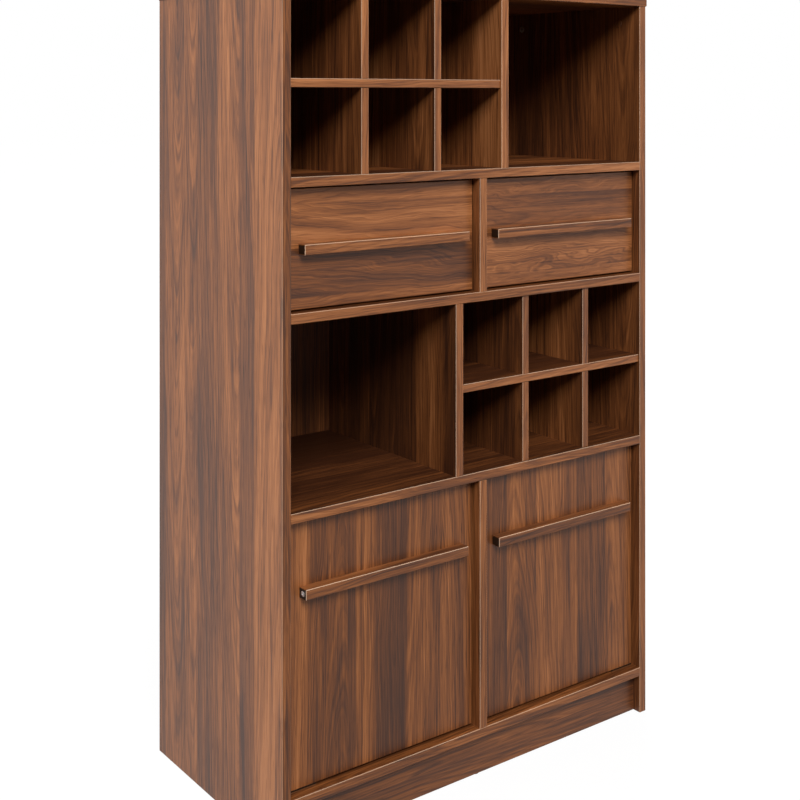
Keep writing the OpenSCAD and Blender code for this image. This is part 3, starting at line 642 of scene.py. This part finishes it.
def soften(made, width):
    bevel = made.modifiers.new("bevel", "BEVEL")
    bevel.width = width * MM
    bevel.segments = 2
    bevel.limit_method = "ANGLE"
    bevel.angle_limit = BEVEL_ANGLE


def cross(arm, width):
    """The outline of a cross recess."""
    a, w = arm / 2, width / 2
    return [(a, w), (w, w), (w, a), (-w, a), (-w, w), (-a, w),
            (-a, -w), (-w, -w), (-w, -a), (w, -a), (w, -w), (a, -w)]


def rounded(wide, tall, radius):
    """The outline of a rectangle with rounded corners."""
    a, b = wide / 2 - radius, tall / 2 - radius
    points = []
    for cx, cy, start in ((a, b, 0), (-a, b, 90), (-a, -b, 180), (a, -b, 270)):
        for k in range(5):
            t = math.radians(start + 22.5 * k)
            points.append((cx + radius * math.cos(t), cy + radius * math.sin(t)))
    return points


# Profiles of a cap over a cam lock, and of a bare lock's face
CAM_CAP = ((0, 0.9), (7.6, 0.9), (8.2, 0.7), (8.5, 0.3), (8.5, 0), (0, 0))
CAM_FACE = ((0, 0.35), (6.6, 0.35), (7.2, 0.2), (7.4, 0), (0, 0))


def cam_covers():
    """Foil-faced caps over the front cam locks. The rear locks are bare and show a cross recess."""
    caps, faces = Shape(), Shape()
    for low, high in loose_boxes("cam_locks"):
        middle = (low + high) / 2
        if high.z - low.z < high.x - low.x:
            place = facing(Vector((middle.x, middle.y, low.z)), "Z", -1)
        elif middle.x > 0:
            place = facing(Vector((low.x, middle.y, middle.z)), "X", -1)
        else:
            place = facing(Vector((high.x, middle.y, middle.z)), "X", 1)
        if middle.y < 0:
            caps.lathe(CAM_CAP, place)
        else:
            faces.lathe(CAM_FACE, place)
            faces.prism(cross(8.5, 1.5), 0.1, 0.37, place, slot=1)
    foil = walnut("cap_foil", "Z", FIGURES["right_side_panel"], pale=0)
    caps.make("cam_caps", "carcass", [foil], "walnut_board")
    faces.make("cam_faces", "carcass", [ZINC, BLACK], "zinc_fixings")


# The handles' screws are the only fixings that reach further along Y than this. Dowels reach 30
SCREW_LENGTH = 30.2
# Radius and profile of a screw's head
HEAD = 3.9
DOME = ((0, 1.1), (HEAD * 0.45, 1.05), (HEAD * 0.75, 0.85), (HEAD * 0.93, 0.5),
        (HEAD, 0.05), (HEAD, -0.4), (0, -0.4))


def screw_heads(name, body):
    """Domed heads with a cross recess on the rear ends of a body's handle screws."""
    shape = Shape()
    for low, high in loose_boxes(f"{body}_fasteners"):
        if high.y - low.y > SCREW_LENGTH * MM:
            middle = (low + high) / 2
            place = facing(Vector((middle.x, high.y, middle.z)), "Y", 1)
            shape.lathe(DOME, place)
            shape.prism(cross(HEAD * 1.15, HEAD * 0.26), 0.6, 1.14, place, slot=1)
    shape.make(name, body, [ZINC, BLACK], "zinc_fixings")


def end_section(low, high, place):
    """A strip's depth and height in millimetres, in the order of the X and Y axes of place."""
    wide, tall = (high.y - low.y) / MM, (high.z - low.z) / MM
    if abs((place.to_3x3() @ Vector((1, 0, 0))).y) < 0.5:
        wide, tall = tall, wide
    return wide, tall


# How much smaller a cap is than the strip's end, and its raised middle than the cap
END_MARGIN = 3.0
END_STEP = 4.4


def end_caps(name, body, ends):
    """Thin dark caps on the ends of a body's handle strip: -1 is its left end and 1 its right end."""
    low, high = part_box(f"{body}_handle")
    middle = (low + high) / 2
    shape = Shape()
    for end in ends:
        place = facing(Vector((high.x if end > 0 else low.x, middle.y, middle.z)), "X", end)
        wide, tall = [length - END_MARGIN for length in end_section(low, high, place)]
        shape.prism(rounded(wide, tall, 1.5), -0.5, 0.35, place)
        shape.prism(rounded(wide - END_STEP, tall - END_STEP, 1.0), 0.25, 0.55, place)
    soften(shape.make(name, body, [DARK], "black_plastic"), 0.15)


# The plug's hole and the screw's socket, as radii, and how far the head stands over the CAD screw
PLUG_HOLE = 6.2
SOCKET = 1.75
SCREW_PROUD = 0.8
SCREW = ((0, -1.5), (1.7, -1.5), (1.8, -0.15), (2.0, 0.0), (4.4, -0.1), (5.4, -0.5), (5.8, -1.2),
         (5.8, -2.6), (2.0, -2.8), (2.0, -20.6), (0, -21.3))


def handle_end():
    """The left door handle's left end: a recessed black plug round a bright socket screw."""
    low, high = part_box("left_handle_plug")
    middle = (low + high) / 2
    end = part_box("left_door_handle")[0].x
    place = facing(Vector((end, middle.y, middle.z)), "X", -1)
    bottom, back = (end - low.x) / MM, (end - high.x) / MM
    wide, tall = end_section(low, high, place)
    plug = Shape()
    plug.prism(rounded(wide, tall, 1.6), back, bottom, place)
    plug.collar(rounded(wide, tall, 1.6), PLUG_HOLE, bottom, 0.05, place)
    plug.collar(rounded(wide + 1.6, tall + 1.6, 1.4), PLUG_HOLE, 0.0, 0.4, place)
    made = plug.make("handle_end_plug", "left_door", [BLACK], "black_plastic")
    soften(made, 0.2)
    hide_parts("left_handle_plug")

    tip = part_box("left_handle_screw")[0].x - SCREW_PROUD * MM
    place = facing(Vector((tip, middle.y, middle.z)), "X", -1)
    corners = [math.radians(60 * k) for k in range(6)]
    screw = Shape()
    screw.lathe(SCREW, place)
    hexagon = [(SOCKET * math.cos(t), SOCKET * math.sin(t)) for t in corners]
    screw.prism(hexagon, -1.8, -1.4, place, slot=1)
    made = screw.make("handle_end_screw", "left_door", [SILVER, BLACK], "zinc_fixings")
    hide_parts("left_handle_screw")


# Studio

FLOOR_HALF = 30.0
FLOOR_GREY = (0.10, 0.10, 0.10, 1)
# The floor's glow near the cabinet, and the distances between which it rises to white
GLOW = 0.915
GLOW_NEAR, GLOW_FAR = 0.6, 2.4
# The world's light on the object
AMBIENT = 0.006


def floor():
    """A floor that the camera sees nearly white, with the cabinet's shadow on it."""
    mesh = bpy.data.meshes.new("floor")
    corners = [(x * FLOOR_HALF, y * FLOOR_HALF, 0) for x, y in ((-1, -1), (1, -1), (1, 1), (-1, 1))]
    mesh.from_pydata(corners, [], [(0, 1, 2, 3)])
    made = bpy.data.objects.new("floor", mesh)
    bpy.context.scene.collection.objects.link(made)
    material = bpy.data.materials.new("floor")
    material.use_nodes = True
    material.node_tree.nodes.clear()
    g = Graph(material.node_tree)
    place = g.node("ShaderNodeTexCoord").outputs["Object"]
    away = g.node("ShaderNodeVectorMath", {0: place}, operation="LENGTH").outputs["Value"]
    strength = g.math("MULTIPLY", g.backdrop_rays(), g.spread(away, GLOW_NEAR, GLOW_FAR, GLOW, 1.0))
    glow = g.node("ShaderNodeEmission", {"Color": (1, 1, 1, 1), "Strength": strength})
    lit = g.node("ShaderNodeBsdfDiffuse", {"Color": FLOOR_GREY})
    both = g.node("ShaderNodeAddShader", {0: lit.outputs[0], 1: glow.outputs[0]})
    g.node("ShaderNodeOutputMaterial", {"Surface": both.outputs[0]})
    mesh.materials.append(material)


def world():
    made = bpy.data.worlds.new("studio")
    made.use_nodes = True
    made.node_tree.nodes.clear()
    g = Graph(made.node_tree)
    strength = g.spread(g.backdrop_rays(), 0, 1, AMBIENT, 1.0)
    back = g.node("ShaderNodeBackground", {"Color": (1, 1, 1, 1), "Strength": strength})
    g.node("ShaderNodeOutputWorld", {"Surface": back.outputs[0]})
    bpy.context.scene.world = made


def softbox(name, at, aim, size, power, glossy=True):
    data = bpy.data.lights.new(name, "AREA")
    data.shape = "RECTANGLE"
    data.size, data.size_y = size
    data.energy = power
    made = bpy.data.objects.new(name, data)
    made.location = at
    made.visible_camera = False
    made.visible_glossy = glossy
    made.rotation_euler = (Vector(aim) - Vector(at)).to_track_quat("-Z", "Y").to_euler()
    bpy.context.scene.collection.objects.link(made)


def studio():
    floor()
    world()
    softbox("key", at=(-2.72, -5.62, 6.05), aim=(0, 0, 0.85), size=(3.7, 3.7), power=760)
    softbox("fill", at=(2.65, -2.65, 0.90), aim=(0, 0, 0.7), size=(2.0, 1.6), power=27, glossy=False)
    softbox("side", at=(-3.6, 0.9, 1.7), aim=(-0.4, 0, 0.8), size=(2.0, 2.6), power=100)
    softbox("back", at=(3.0, 3.2, 2.0), aim=(0.2, 0.1, 0.8), size=(2.4, 2.4), power=130, glossy=False)


camera()
studio()
dress_boards()
dress_hardware()
cam_covers()
for hand in ("left", "right"):
    screw_heads(f"{hand}_handle_screw_heads", f"{hand}_door")
    screw_heads(f"{hand}_drawer_screw_heads", f"{hand}_drawer")
handle_end()
end_caps("left_door_end_cap", "left_door", (1,))
for body in ("right_door", "left_drawer", "right_drawer"):
    end_caps(f"{body}_end_caps", body, (-1, 1))
bpy.context.scene.view_settings.view_transform = "Standard"
